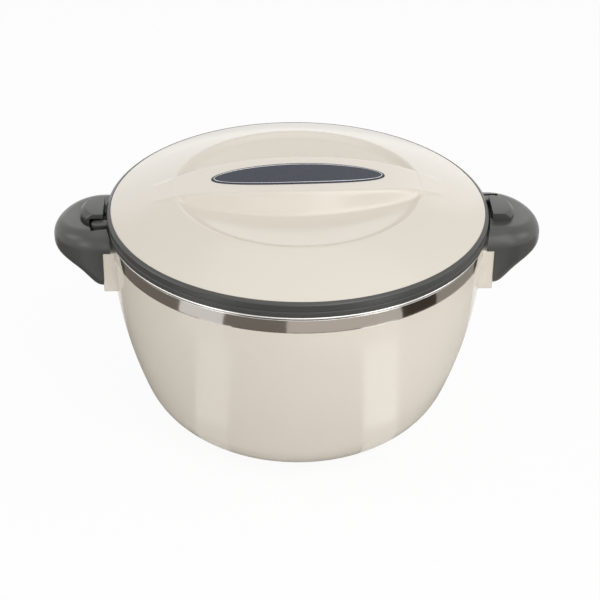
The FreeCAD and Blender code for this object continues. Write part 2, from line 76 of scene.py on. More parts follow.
def placeCamera():
    azimuth = math.radians(cameraSet["azimuth"])
    elevation = math.radians(cameraSet["elevation"])
    roll = math.radians(cameraSet["roll"])
    level = math.cos(elevation)
    back = Vector((math.sin(azimuth) * level, -math.cos(azimuth) * level, math.sin(elevation)))
    right = Vector((math.cos(azimuth), math.sin(azimuth), 0))
    up = back.cross(right)
    rolledRight = right * math.cos(roll) + up * math.sin(roll)
    rolledUp = back.cross(rolledRight)
    data = bpy.data.cameras.new("camera")
    pixels = cameraSet["picturePixels"]
    data.sensor_width = cameraSet["sensorWidth"]
    data.lens = cameraSet["focalPixels"] * data.sensor_width / pixels
    data.shift_x = (pixels / 2 - cameraSet["middlePixel"][0]) / pixels
    data.shift_y = (cameraSet["middlePixel"][1] - pixels / 2) / pixels
    camera = bpy.data.objects.new("camera", data)
    bpy.context.scene.collection.objects.link(camera)
    turn = Matrix((rolledRight, rolledUp, back)).transposed().to_4x4()
    place = (Vector(cameraSet["target"]) + back * cameraSet["distance"]) * mm
    camera.matrix_world = Matrix.Translation(place) @ turn
    bpy.context.scene.camera = camera


placeCamera()
bpy.context.scene.view_settings.view_transform = "Standard"
print("camera placed")


# Drawing and finishing

def drawProfile(start, steps, closed=True):
    # a step is (x, z), a rounded corner (x, z, size) or an arc (centre x, centre z, degrees, count)
    bm = bmesh.new()
    first = last = bm.verts.new((start[0], 0, start[1]))
    corners = []
    for step in steps:
        if len(step) == 4:
            turned = bmesh.ops.spin(bm, geom=[last], cent=(step[0], 0, step[1]), axis=(0, -1, 0),
                                    angle=math.radians(step[2]), steps=step[3])
            last = turned["geom_last"][0]
            continue
        there = bm.verts.new((step[0], 0, step[1]))
        bm.edges.new((last, there))
        last = there
        if len(step) == 3:
            corners.append((there, step[2]))
    if closed:
        bm.edges.new((last, first))
    for corner, size in corners:
        bmesh.ops.bevel(bm, geom=[corner], offset=size, offset_type="OFFSET", affect="VERTICES",
                        segments=drawing["cornerSegments"], profile=0.5, material=-1)
    return bm


def turnRound(bm, segments=drawing["roundSegments"]):
    bmesh.ops.spin(bm, geom=bm.verts[:] + bm.edges[:], cent=(0, 0, 0), axis=(0, 0, 1),
                   angle=2 * math.pi, steps=segments, use_merge=True)
    bmesh.ops.remove_doubles(bm, verts=bm.verts, dist=drawing["mergeDistance"])
    return bm


def roundedBlock(low, high, rounding, chosen, segments=5):
    # a block with the chosen edges rounded; chosen is asked with an edge's middle
    bm = bmesh.new()
    bmesh.ops.create_cube(bm, size=1.0)
    bmesh.ops.scale(bm, vec=[b - a for a, b in zip(low, high)], verts=bm.verts)
    bmesh.ops.translate(bm, vec=[(a + b) / 2 for a, b in zip(low, high)], verts=bm.verts)
    edges = [e for e in bm.edges if chosen((e.verts[0].co + e.verts[1].co) / 2)]
    bmesh.ops.bevel(bm, geom=edges, offset=rounding, offset_type="OFFSET", affect="EDGES",
                    segments=segments, profile=0.5, material=-1)
    return bm


def turnAbout(bm, degrees):
    turn = Matrix.Rotation(math.radians(degrees), 3, "Z")
    bmesh.ops.rotate(bm, cent=(0, 0, 0), matrix=turn, verts=bm.verts)
    return bm


def makeObject(name, bm):
    bmesh.ops.scale(bm, vec=(mm, mm, mm), verts=bm.verts)
    bmesh.ops.recalc_face_normals(bm, faces=bm.faces)
    mesh = bpy.data.meshes.new(name)
    bm.to_mesh(mesh)
    bm.free()
    piece = bpy.data.objects.new(name, mesh)
    bpy.context.scene.collection.objects.link(piece)
    return piece


def combine(piece, bm, operation):
    # joins a second shape to the piece, or cuts it away
    tool = makeObject("tool", bm)
    change = piece.modifiers.new("change", "BOOLEAN")
    change.object = tool
    change.operation = operation
    change.solver = "EXACT"
    bpy.context.view_layer.update()
    changed = piece.evaluated_get(bpy.context.evaluated_depsgraph_get())
    result = bpy.data.meshes.new_from_object(changed)
    piece.modifiers.clear()
    piece.data = result
    bpy.data.objects.remove(tool)


def finishPiece(piece, material, body, node, sharpFrom=32.0):
    piece.data.materials.clear()
    piece.data.materials.append(material)
    piece.data.shade_smooth()
    piece.data.set_sharp_from_angle(angle=math.radians(sharpFrom))
    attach(piece, body)
    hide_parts(node)
    print("made", piece.name, len(piece.data.polygons), "faces")


# Materials

def startMaterial(name, sockets):
    material = bpy.data.materials.new(name)
    material.use_nodes = True
    shader = material.node_tree.nodes["Principled BSDF"]
    for socket, value in sockets.items():
        shader.inputs[socket].default_value = value
    return material, shader


def addNode(material, kind, settings=(), **sockets):
    node = material.node_tree.nodes.new(kind)
    for name, value in dict(settings).items():
        setattr(node, name, value)
    for name, value in sockets.items():
        node.inputs[name].default_value = value
    return node


def objectNoise(material, scale, detail=2.0, stretch=(1, 1, 1)):
    place = addNode(material, "ShaderNodeTexCoord")
    mapping = addNode(material, "ShaderNodeMapping", Scale=stretch)
    noise = addNode(material, "ShaderNodeTexNoise", Scale=scale, Detail=detail)
    links = material.node_tree.links
    links.new(place.outputs["Object"], mapping.inputs["Vector"])
    links.new(mapping.outputs["Vector"], noise.inputs["Vector"])
    return noise.outputs["Fac"]


def varyRoughness(material, shader, factor, low, high):
    spread = addNode(material, "ShaderNodeMapRange", **{"To Min": low, "To Max": high})
    material.node_tree.links.new(factor, spread.inputs["Value"])
    material.node_tree.links.new(spread.outputs["Result"], shader.inputs["Roughness"])


def varyColour(material, shader, factor, one, other):
    mix = addNode(material, "ShaderNodeMix", {"data_type": "RGBA"})
    mix.inputs["A"].default_value = (*one, 1)
    mix.inputs["B"].default_value = (*other, 1)
    material.node_tree.links.new(factor, mix.inputs["Factor"])
    material.node_tree.links.new(mix.outputs["Result"], shader.inputs["Base Color"])


def addBump(material, shader, height, strength, distance):
    bump = addNode(material, "ShaderNodeBump", Strength=strength, Distance=distance)
    material.node_tree.links.new(height, bump.inputs["Height"])
    material.node_tree.links.new(bump.outputs["Normal"], shader.inputs["Normal"])


def turnedRings(material, spacing):
    # fine rings round the vertical axis, as a lathe or a polishing wheel leaves
    place = addNode(material, "ShaderNodeTexCoord")
    flat = addNode(material, "ShaderNodeVectorMath", {"operation": "MULTIPLY"})
    flat.inputs[1].default_value = (1, 1, 0)
    radius = addNode(material, "ShaderNodeVectorMath", {"operation": "LENGTH"})
    split = addNode(material, "ShaderNodeSeparateXYZ")
    joined = addNode(material, "ShaderNodeCombineXYZ")
    noise = addNode(material, "ShaderNodeTexNoise", Scale=1 / (spacing * mm), Detail=3.0)
    links = material.node_tree.links
    links.new(place.outputs["Object"], flat.inputs[0])
    links.new(flat.outputs["Vector"], radius.inputs[0])
    links.new(place.outputs["Object"], split.inputs["Vector"])
    links.new(radius.outputs["Value"], joined.inputs["X"])
    links.new(split.outputs["Z"], joined.inputs["Z"])
    links.new(joined.outputs["Vector"], noise.inputs["Vector"])
    return noise.outputs["Fac"]


def creamPlastic():
    material, shader = startMaterial("creamPlastic", {"IOR": 1.55})
    varyColour(material, shader, objectNoise(material, scale=9),
               one=(0.736, 0.680, 0.592), other=(0.752, 0.697, 0.610))
    varyRoughness(material, shader, objectNoise(material, scale=45, detail=1.0), low=0.14, high=0.24)
    grain = objectNoise(material, scale=420, detail=1.0)
    addBump(material, shader, grain, strength=0.02, distance=0.0002)
    return material


def greyPlastic():
    material, shader = startMaterial("greyPlastic", {"IOR": 1.5})
    varyColour(material, shader, objectNoise(material, scale=30),
               one=(0.052, 0.053, 0.050), other=(0.062, 0.063, 0.059))
    varyRoughness(material, shader, objectNoise(material, scale=160), low=0.26, high=0.38)
    addBump(material, shader, objectNoise(material, scale=2600), strength=0.06, distance=0.0002)
    return material


def polishedSteel():
    steel = (0.80, 0.78, 0.75, 1)
    material, shader = startMaterial("polishedSteel", {"Metallic": 1.0, "Base Color": steel})
    varyRoughness(material, shader, turnedRings(material, spacing=0.5), low=0.06, high=0.12)
    ripple = objectNoise(material, scale=60, stretch=(1, 1, 4))
    addBump(material, shader, ripple, strength=0.05, distance=0.0006)
    return material


def linerSteel():
    steel = (0.74, 0.73, 0.71, 1)
    material, shader = startMaterial("linerSteel", {"Metallic": 1.0, "Base Color": steel})
    rings = turnedRings(material, spacing=0.35)
    varyRoughness(material, shader, rings, low=0.20, high=0.32)
    addBump(material, shader, rings, strength=0.06, distance=0.0001)
    return material


def rigidFoam():
    material, shader = startMaterial("rigidFoam", {"Roughness": 0.85})
    cells = addNode(material, "ShaderNodeTexVoronoi", Scale=900.0)
    place = addNode(material, "ShaderNodeTexCoord")
    material.node_tree.links.new(place.outputs["Object"], cells.inputs["Vector"])
    varyColour(material, shader, objectNoise(material, scale=40),
               one=(0.80, 0.70, 0.45), other=(0.86, 0.77, 0.53))
    addBump(material, shader, cells.outputs["Distance"], strength=0.5, distance=0.0006)
    return material


def sealSilicone():
    material, shader = startMaterial("sealSilicone", {"Subsurface Weight": 0.15})
    shader.inputs["Subsurface Scale"].default_value = 0.002
    varyColour(material, shader, objectNoise(material, scale=50),
               one=(0.66, 0.66, 0.64), other=(0.72, 0.72, 0.70))
    varyRoughness(material, shader, objectNoise(material, scale=300), low=0.42, high=0.55)
    addBump(material, shader, objectNoise(material, scale=1500), strength=0.08, distance=0.0002)
    return material


def badgeBlue():
    material, shader = startMaterial("badgeBlue", {"IOR": 1.3, "Specular IOR Level": 0.25})
    varyColour(material, shader, objectNoise(material, scale=60),
               one=(0.030, 0.035, 0.053), other=(0.035, 0.040, 0.059))
    varyRoughness(material, shader, objectNoise(material, scale=200), low=0.20, high=0.34)
    addBump(material, shader, objectNoise(material, scale=1200), strength=0.03, distance=0.0001)
    return material


def badgeSilver():
    material, shader = startMaterial("badgeSilver", {"Metallic": 1.0})
    varyColour(material, shader, objectNoise(material, scale=200),
               one=(0.50, 0.51, 0.53), other=(0.58, 0.59, 0.61))
    varyRoughness(material, shader, objectNoise(material, scale=400), low=0.22, high=0.32)
    return material


def screwSteel():
    steel = (0.60, 0.60, 0.60, 1)
    material, shader = startMaterial("screwSteel", {"Metallic": 1.0, "Base Color": steel})
    varyRoughness(material, shader, objectNoise(material, scale=900), low=0.28, high=0.42)
    addBump(material, shader, objectNoise(material, scale=3000), strength=0.08, distance=0.0001)
    return material


def insertBrass():
    brass = (0.70, 0.52, 0.24, 1)
    material, shader = startMaterial("insertBrass", {"Metallic": 1.0, "Base Color": brass})
    varyRoughness(material, shader, objectNoise(material, scale=900), low=0.26, high=0.38)
    addBump(material, shader, objectNoise(material, scale=3000), strength=0.08, distance=0.0001)
    return material


finishes = {
    "cream_plastic": creamPlastic(),
    "grey_plastic": greyPlastic(),
    "polished_steel": polishedSteel(),
    "liner_steel": linerSteel(),
    "foam": rigidFoam(),
    "silicone": sealSilicone(),
    "badge_blue": badgeBlue(),
    "badge_line": badgeSilver(),
    "screw_steel": screwSteel(),
    "brass": insertBrass(),
}
print("materials made")

nodeSlot = {part["node"]: part["material_slot"] for part in frame["record"]["subparts"]}
for nodeName, nodeObject in frame["nodes"].items():
    for place in nodeObject.material_slots:
        place.material = finishes[nodeSlot[nodeName]]


# Bowl: a cream shell with a lug at each side, the steel band, and the steel liner inside

bowl = {
    "sideArc": 300.0,
    "sideCentre": (-177.0, 137.0),
    "baseArc": 48.0,
    "baseCentreX": 58.76,
    "baseSteps": 20,
    "sideSteps": 24,
    "wall": 2.4,
    "footRadius": 50.0,
    "footRecess": 1.5,
    "fillHole": 6.05,
    "fillHoleDepth": 10.0,
    "lugInnerX": 108.0,
    "lugEdgeRound": 0.7,
    "lugEdgeSegments": 3,
    "lugHalfWidth": 33.0,
    "lugBottom": 108.6,
    "lugTop": 137.0,
    "lugFaceX": 126.6,
    "slotGap": 0.05,
    "bandWall": 0.6,
    "bandEdgeRound": 0.3,
}
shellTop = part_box("outer_bowl")[1].z / mm
bandLow, bandHigh = [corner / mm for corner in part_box("rim_band")]


def bowlArcs(inset, top):
    # base arc and side arc of the bowl's outline, moved in by an even distance
    sideX, sideZ = bowl["sideCentre"]
    baseX, baseZ = bowl["baseCentreX"], bowl["baseArc"]
    join = math.degrees(math.atan2(baseZ - sideZ, baseX - sideX))
    end = math.degrees(math.asin((top - sideZ) / (bowl["sideArc"] - inset)))
    return [(baseX, baseZ, join + 90, bowl["baseSteps"]),
            (sideX, sideZ, end - join, bowl["sideSteps"])]


def bowlRadius(z, inset):
    sideX, sideZ = bowl["sideCentre"]
    return sideX + math.sqrt((bowl["sideArc"] - inset) ** 2 - (z - sideZ) ** 2)


def makeBowlShell():
    past = drawing["cutPast"]
    outline = [(bowl["baseCentreX"], 0), *bowlArcs(0, shellTop), (0, shellTop)]
    start = (bowl["footRadius"], 0)
    recess = [(0, bowl["footRecess"]), (bowl["footRadius"], bowl["footRecess"])]
    shell = makeObject("bowlShell", turnRound(drawProfile(start, outline + recess)))
    low = (bowl["lugInnerX"], -bowl["lugHalfWidth"], bowl["lugBottom"])
    high = (bowl["lugFaceX"], bowl["lugHalfWidth"], bowl["lugTop"])

    def outerEdge(middle):
        return middle.x > bowl["lugInnerX"] + 1
    for turn in (0, 180):
        lug = roundedBlock(low, high, bowl["lugEdgeRound"], outerEdge, bowl["lugEdgeSegments"])
        combine(shell, turnAbout(lug, turn), "UNION")
    wall, top = bowl["wall"], shellTop + past
    inside = [(bowl["baseCentreX"], wall), *bowlArcs(wall, top), (0, top)]
    combine(shell, turnRound(drawProfile((0, wall), inside)), "DIFFERENCE")
    slotIn, slotOut = bandHigh.x - bowl["bandWall"], bandHigh.x + bowl["slotGap"]
    slot = [(slotOut, bandLow.z), (slotOut, top), (slotIn, top)]
    combine(shell, turnRound(drawProfile((slotIn, bandLow.z), slot)), "DIFFERENCE")
    hole, depth = bowl["fillHole"], bowl["fillHoleDepth"]
    hole = [(hole, -past), (hole, depth), (0, depth)]
    combine(shell, turnRound(drawProfile((0, -past), hole), drawing["holeSegments"]), "DIFFERENCE")
    finishPiece(shell, finishes["cream_plastic"], "bowl", "outer_bowl")


def makeRimBand():
    outer, inner = bandHigh.x, bandHigh.x - bowl["bandWall"] + bowl["slotGap"]
    bottom, top, soft = bandLow.z, bandHigh.z, bowl["bandEdgeRound"]
    band = drawProfile((inner, bottom), [(outer, bottom, soft), (outer, top, soft), (inner, top)])
    finishPiece(makeObject("rimBand", turnRound(band)), finishes["polished_steel"],
                "bowl", "rim_band")


liner = {
    "inset": 12.5,
    "wall": 0.6,
    "turnZ": 139.6,
    "turnRadius": 3.0,
    "turnSteps": 8,
    "beadRadius": 1.3,
    "beadSteps": 28,
    "beadRing": 122.9,
    "beadZ": 143.1,
}


def makeSteelLiner():
    inset, wall, turnZ, big = liner["inset"], liner["wall"], liner["turnZ"], liner["turnRadius"]
    turnSteps = liner["turnSteps"]
    inner = bowlRadius(turnZ, inset + wall)
    outer = bowlRadius(turnZ, inset)
    turnX = inner + big
    top = turnZ + big
    bead, ringX, beadZ = liner["beadRadius"], liner["beadRing"], liner["beadZ"]
    topSide = math.asin((top - beadZ) / bead)
    lowSide = math.asin((top - wall - beadZ) / bead)
    around = 360 - math.degrees(topSide - lowSide)
    meetTop = (ringX - bead * math.cos(topSide), top)
    baseX = bowl["baseCentreX"]
    rising = [(baseX, inset + wall), *bowlArcs(inset + wall, turnZ)]
    rising += [(turnX, turnZ, -90, turnSteps), meetTop]
    rolled = [(ringX, beadZ, -around, liner["beadSteps"]), (turnX, top - wall)]
    falling = bowlArcs(inset, turnZ)
    downward = [(turnX, turnZ, 90, turnSteps)]
    downward += [(x, z, -degrees, count) for x, z, degrees, count in reversed(falling)]
    outline = drawProfile((0, inset + wall), rising + rolled + downward + [(0, inset)])
    finishPiece(makeObject("steelLiner", turnRound(outline)), finishes["liner_steel"],
                "bowl", "inner_bowl")


makeBowlShell()
makeRimBand()
makeSteelLiner()


# Lid: grey ring with two lugs, cream cover with a dish and a grip ridge, badge, steel plate and seal

lidTurn = 2.3
ring = {
    "radius": 125.0,
    "lowerRadius": 124.8,
    "upperRadius": 124.7,
    "footInset": 0.4,
    "footRise": 0.5,
    "lineRadius": 124.35,
    "lineBottom": 147.9,
    "lineTop": 149.0,
    "lineSlope": 0.3,
    "lineEdgeRound": 0.15,
    "swellBottom": 151.2,
    "swellRise": 1.2,
    "swellRound": 0.6,
    "lipInset": (0.1, 0.7, 1.7),
    "lipDrop": (2.1, 1.5, 0.9),
    "seamDrop": 0.5,
    "bendRound": 0.4,
    "edgeRound": 0.3,
    "wallInner": 122.4,
    "seamRadius": 122.7,
    "inner": 111.2,
    "webTop": 151.8,
    "webBottom": 149.3,
    "plateTop": 144.4,
    "grooveInner": 113.2,
    "lugAngles": (6.8, 186.8),
    "lugStart": 123.4,
    "lugReach": 135.0,
    "lugWidth": 6.8,
    "lugBottom": 144.9,
    "lugTop": 150.3,
    "lugEndRound": 3.0,
    "lugEndSegments": 8,
    "lugTopRound": 0.8,
    "lugTopSegments": 3,
}


def makeLidRing():
    low, high = [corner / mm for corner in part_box("lid_ring")]
    bottom, top = low.z, high.z
    lowerWall, upperWall, line, swell = [ring[name] for name in
                                         ("lowerRadius", "upperRadius", "lineRadius", "swellBottom")]
    slope, edge, bend = ring["lineSlope"], ring["lineEdgeRound"], ring["bendRound"]
    lip = [(ring["radius"] - inset, top - drop)
           for inset, drop in zip(ring["lipInset"], ring["lipDrop"])]
    outline = [
        (lowerWall - ring["footInset"], bottom),
        (lowerWall, bottom + ring["footRise"], ring["edgeRound"]),
        (lowerWall, ring["lineBottom"], edge),
        (line, ring["lineBottom"] + slope),
        (line, ring["lineTop"] - slope),
        (upperWall, ring["lineTop"], edge),
        (upperWall, swell),
        (ring["radius"], swell + ring["swellRise"], ring["swellRound"]),
        (*lip[0], bend),
        (*lip[1], bend),
        (*lip[2], ring["edgeRound"]),
        (ring["seamRadius"], top - ring["seamDrop"]),
        (ring["seamRadius"], ring["webTop"]),
        (ring["inner"], ring["webTop"]),
        (ring["inner"], ring["plateTop"]),
        (ring["grooveInner"], ring["plateTop"]),
        (ring["grooveInner"], ring["webBottom"]),
        (ring["wallInner"], ring["webBottom"]),
    ]
    piece = makeObject("lidRing", turnRound(drawProfile((ring["wallInner"], bottom), outline)))
    half = ring["lugWidth"] / 2
    lowCorner = (ring["lugStart"], -half, ring["lugBottom"])
    highCorner = (ring["lugReach"], half, ring["lugTop"])

    def endEdge(middle):
        return middle.x > ring["lugReach"] - 0.1 and abs(middle.y) > half - 0.1
    for angle in ring["lugAngles"]:
        lug = roundedBlock(lowCorner, highCorner, ring["lugEndRound"], endEdge,
                           ring["lugEndSegments"])
        topEdges = [e for e in lug.edges if min(v.co.z for v in e.verts) > ring["lugTop"] - 0.01
                    and max(v.co.x for v in e.verts) > ring["lugStart"] + 1]
        bmesh.ops.bevel(lug, geom=topEdges, offset=ring["lugTopRound"], offset_type="OFFSET",
                        affect="EDGES", segments=ring["lugTopSegments"], profile=0.5, material=-1)
        combine(piece, turnAbout(lug, angle), "UNION")
    finishPiece(piece, finishes["grey_plastic"], "lid", "lid_ring")


cover = {
    "radius": 122.6,
    "edgeZ": 154.4,
    "rise": 24.0,
    "wall": 2.6,
    "bottom": 151.85,
    "dishRadius": 80.4,
    "dishFloorZ": 162.8,
    "dishFloorRise": 3.2,
    "dishWallSlope": 0.7,
    "dishWallBlend": 2.5,
    "dishRimBlend": 1.6,
    "ridgeTopZ": 176.9,
    "ridgeCrown": 556.0,
    "ridgeFallFrom": 60.0,
    "ridgeFall": 0.00506,
    "ridgeHalfWidth": 24.8,
    "ridgeSideArc": 265.0,
    "ridgeSideSlope": 0.5,
    "ridgeSideSteepening": 4.6e-5,
    "ridgeSideLeast": 0.25,
    "ridgeEdgeBlend": 2.4,
    "ridgeFootBlend": 2.4,
    "edgeDrop": 0.3,
    "underRimWidth": 3.0,
    "underRimRise": 0.4,
    "ringStep": 0.8,
    "fineReach": 96.0,
    "dishEdgeRings": (-0.6, -0.2, 0.2, 0.6),
    "outerRings": (100, 104, 108, 112, 115, 118, 120, 121.4, 122.2),
    "underRings": range(116, 0, -4),
    "segments": 360,
}
domeArc = (cover["radius"] ** 2 + cover["rise"] ** 2) / (2 * cover["rise"])
domeCentreZ = cover["edgeZ"] + cover["rise"] - domeArc


def lower(a, b, blend):
    overlap = max(blend - abs(a - b), 0) / blend
    return min(a, b) - overlap * overlap * blend / 4


def domeHeight(radius):
    return domeCentreZ + math.sqrt(domeArc ** 2 - radius ** 2)


def dishHeight(radius):
    # a shallow bowl of a floor with a steeper wall round it
    edge = cover["dishRadius"]
    floor = cover["dishFloorZ"] + cover["dishFloorRise"] * (radius / edge) ** 2
    wall = domeHeight(edge) + (radius - edge) * cover["dishWallSlope"]
    return -lower(-floor, -wall, cover["dishWallBlend"])


def crownHeight(x):
    fall = max(abs(x) - cover["ridgeFallFrom"], 0)
    return cover["ridgeTopZ"] - x ** 2 / (2 * cover["ridgeCrown"]) - cover["ridgeFall"] * fall ** 2


def coverHeight(x, y):
    radius = math.hypot(x, y)
    base = lower(domeHeight(radius), dishHeight(radius), cover["dishRimBlend"])
    edge = cover["ridgeHalfWidth"] - x ** 2 / (2 * cover["ridgeSideArc"])
    slope = max(cover["ridgeSideSlope"] - cover["ridgeSideSteepening"] * x ** 2, cover["ridgeSideLeast"])
    side = cover["ridgeTopZ"] - (abs(y) - edge) / slope
    ridge = lower(crownHeight(x), side, cover["ridgeEdgeBlend"])
    return -lower(-base, -ridge, cover["ridgeFootBlend"])


def makeLidCover():
    # two flat discs joined at the edge, whose points are then raised to the cover's height
    topLevel, rimLevel, footLevel, underLevel = 1, 0.9, 0.1, 0
    outer, wall, step = cover["radius"], cover["wall"], cover["ringStep"]
    radii = [count * step for count in range(1, int(cover["fineReach"] / step) + 1)]
    radii += [cover["dishRadius"] + away for away in cover["dishEdgeRings"]]
    radii += cover["outerRings"]
    outline = [(radius, topLevel) for radius in sorted(radii)]
    outline += [(outer, rimLevel), (outer, footLevel), (outer - wall, footLevel)]
    outline += [(radius, underLevel) for radius in cover["underRings"]]
    bm = turnRound(drawProfile((0, topLevel), outline + [(0, underLevel)]), cover["segments"])
    for point in bm.verts:
        x, y, level = point.co
        radius = math.hypot(x, y)
        if level > (topLevel + rimLevel) / 2:
            point.co.z = coverHeight(x, y)
        elif level > (rimLevel + footLevel) / 2:
            point.co.z = cover["edgeZ"] - cover["edgeDrop"]
        elif level > (footLevel + underLevel) / 2:
            point.co.z = cover["bottom"]
        elif radius > outer - cover["underRimWidth"]:
            point.co.z = cover["bottom"] + cover["underRimRise"]
        else:
            point.co.z = coverHeight(x, y) - wall
    bm = turnAbout(bm, lidTurn)
    finishPiece(makeObject("lidCover", bm), finishes["cream_plastic"],
                "lid", "lid_cover", sharpFrom=60.0)


badge = {
    "halfLength": 56.5,
    "halfWidth": 14.4,
    "rise": 0.5,
    "seat": -0.4,
    "edgeRound": 0.3,
    "edgeOvals": ((2.0, 0.0), (1.0, 0.03), (0.3, 0.12)),    # share of the edge's rounding, drop
    "flatInset": 3.1,
    "flatShares": (0.0, 0.1, 0.25, 0.4, 0.55, 0.7, 0.85),
    "underInset": 1.5,
    "lineInset": 1.6,
    "lineWidth": 0.5,
    "lineRise": 0.12,
    "lineDepth": -0.1,
    "lineRound": 0.08,
    "segments": 192,
}


def ovalRing(inset):
    return badge["halfLength"] - inset, badge["halfWidth"] - inset


def spinOvals(ovals, first):
    # drawn as a round piece whose radius counts the ovals, then laid on the ridge's crown
    bm = drawProfile((first, 0), [(index, 0) for index in range(first + 1, len(ovals))], closed=False)
    bmesh.ops.spin(bm, geom=bm.verts[:] + bm.edges[:], cent=(0, 0, 0), axis=(0, 0, 1),
                   angle=2 * math.pi, steps=badge["segments"], use_merge=True)
    for point in bm.verts:
        radius = math.hypot(point.co.x, point.co.y)
        index = min(int(radius + 1e-4), len(ovals) - 1)
        along = (point.co.x / radius, point.co.y / radius) if radius > 1e-4 else (0, 0)
        x, y = along[0] * ovals[index][0], along[1] * ovals[index][1]
        point.co = (x, y, crownHeight(x) + ovals[index][2])
    return turnAbout(bm, lidTurn)


def makeBadgePlate():
    top, seat, edge = badge["rise"], badge["seat"], badge["edgeRound"]
    flat = ovalRing(badge["flatInset"])
    ovals = [(flat[0] * share, flat[1] * share, top) for share in badge["flatShares"]]
    under = [(flat[0] * share, flat[1] * share, seat) for share in reversed(badge["flatShares"])]
    ovals += [(*flat, top)]
    ovals += [(*ovalRing(edge * share), top - drop) for share, drop in badge["edgeOvals"]]
    ovals += [(*ovalRing(0), top - edge), (*ovalRing(0), seat)]
    ovals += [(*ovalRing(badge["underInset"]), seat)]
    bm = spinOvals(ovals + under, 0)
    bmesh.ops.remove_doubles(bm, verts=bm.verts, dist=drawing["mergeDistance"])
    finishPiece(makeObject("badgePlate", bm), finishes["badge_blue"],
                "lid", "badge_plate")


def makeBadgeLine():
    outside, soft = badge["lineInset"], badge["lineRound"]
    inside = outside + badge["lineWidth"]
    high, low = badge["rise"] + badge["lineRise"], badge["rise"] + badge["lineDepth"]
    levels = [(inside, low), (inside, high - soft), (inside - soft, high), (outside + soft, high),
              (outside, high - soft), (outside, low)]
    ovals = [(*ovalRing(inset), level) for inset, level in levels]
    line = spinOvals([ovals[0]] + ovals, 1)
    bmesh.ops.bridge_loops(line, edges=[e for e in line.edges if e.is_boundary])
    finishPiece(makeObject("badgeLine", line), finishes["badge_line"],
                "lid", "badge_border")


lidPlate = {
    "radius": 107.4,
    "wall": 0.6,
    "bottom": 137.0,
    "round": 5.0,
    "roundSteps": 10,
    "crownZ": 139.5,
    "crownSteps": 24,
    "flangeTop": 144.35,
    "flangeRadius": 113.2,
    "cornerRound": 0.5,
}


def makeLidPlate():
    wall, radius, bend = lidPlate["wall"], lidPlate["radius"], lidPlate["round"]
    bottom, flange = lidPlate["bottom"], lidPlate["flangeTop"]
    centreX = radius - bend
    rise = lidPlate["crownZ"] - bottom
    arc = (centreX ** 2 + rise ** 2) / (2 * rise)
    sweep = math.degrees(math.asin(centreX / arc))
    crownCentre, lift, bends = bottom + rise - arc, bottom + bend, lidPlate["roundSteps"]
    reach = lidPlate["flangeRadius"]
    low = [(0, crownCentre, -sweep, lidPlate["crownSteps"]), (centreX, lift, 90, bends)]
    low += [(radius, flange - wall, lidPlate["cornerRound"]), (reach, flange - wall), (reach, flange)]
    back = [(radius - wall, flange), (radius - wall, lift), (centreX, lift, -90, bends)]
    back += [(0, crownCentre, sweep, lidPlate["crownSteps"])]
    piece = makeObject("lidPlate", turnRound(drawProfile((0, bottom + rise), low + back)))
    finishPiece(piece, finishes["liner_steel"], "lid", "lid_liner")


seal = {
    "inner": 113.6,
    "outer": 120.6,
    "bottom": 142.95,
    "top": 148.9,
    "lip": 2.2,
    "lipWidth": 1.5,
    "lipLean": 0.2,
    "tipRounds": (0.3, 0.4),
    "valleyRound": 0.8,
}


def makeLidSeal():
    inner, outer, bottom = seal["inner"], seal["outer"], seal["bottom"]
    lip, middle = bottom + seal["lip"], (inner + outer) / 2
    width, lean = seal["lipWidth"], seal["lipLean"]
    sharp, soft = seal["tipRounds"]
    outline = [(inner, lip), (inner + lean, bottom, sharp), (inner + width, bottom, soft),
               (middle, lip, seal["valleyRound"]), (outer - width, bottom, soft),
               (outer - lean, bottom, sharp), (outer, lip), (outer, seal["top"], soft)]
    piece = makeObject("lidSeal", turnRound(drawProfile((inner, seal["top"]), outline)))
    finishPiece(piece, finishes["silicone"], "lid_seal", "lid_gasket")


makeLidRing()
makeLidCover()
makeBadgePlate()
makeBadgeLine()
makeLidPlate()
makeLidSeal()


# Handles

def makeHandle(side):
    # the rounded and notched form is the construction's own; its loose triangles are joined
    bm = bmesh.new()
    bm.from_mesh(frame["nodes"][side + "_handle"].data)
    bmesh.ops.scale(bm, vec=(1 / mm, 1 / mm, 1 / mm), verts=bm.verts)
    bmesh.ops.remove_doubles(bm, verts=bm.verts, dist=drawing["solidMergeDistance"])
    piece = makeObject(side + "HandleGrip", bm)
    if "custom_normal" in piece.data.attributes:
        piece.data.attributes.remove(piece.data.attributes["custom_normal"])
    finishPiece(piece, finishes["grey_plastic"], "bowl", side + "_handle")


for side in ("left", "right"):
    makeHandle(side)


# Floor, light and reflection cards

